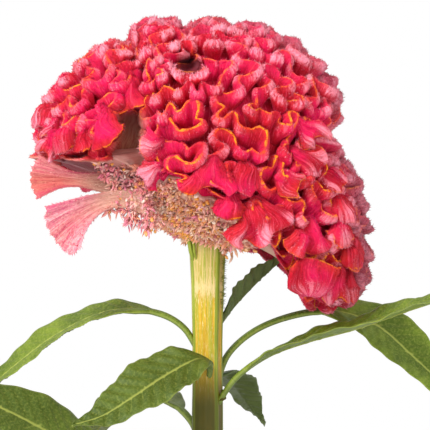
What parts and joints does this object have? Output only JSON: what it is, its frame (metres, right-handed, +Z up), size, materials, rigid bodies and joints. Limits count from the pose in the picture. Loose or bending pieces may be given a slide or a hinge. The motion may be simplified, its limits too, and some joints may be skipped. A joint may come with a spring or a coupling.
{
  "type": "potted cockscomb celosia",
  "caption": "Cockscomb celosia in a plain clay pot: a ruffled velvety red comb on a ribbed green stem with waved leaves.",
  "frame": {"origin": "centre of the pot's underside, where it stands", "axes": "+Z up along the stem, -Y towards the viewer of the picture, +X to that viewer's right"},
  "size_m": [0.2505, 0.2043, 0.3593],
  "materials": {
    "clay": "matte unglazed terracotta",
    "soil": "dark crumbly potting soil",
    "green": "soft green stem and leaves with paler veins",
    "flank": "pinkish beige flank with papery florets",
    "crest": "velvety crimson with paler crowns and orange rims"
  },
  "bodies": {
    "root": {"pot": "clay", "soil": "soil", "leafy_stem": "green", "comb_base": "flank", "comb_crest": "crest"}
  },
  "joints": []
}
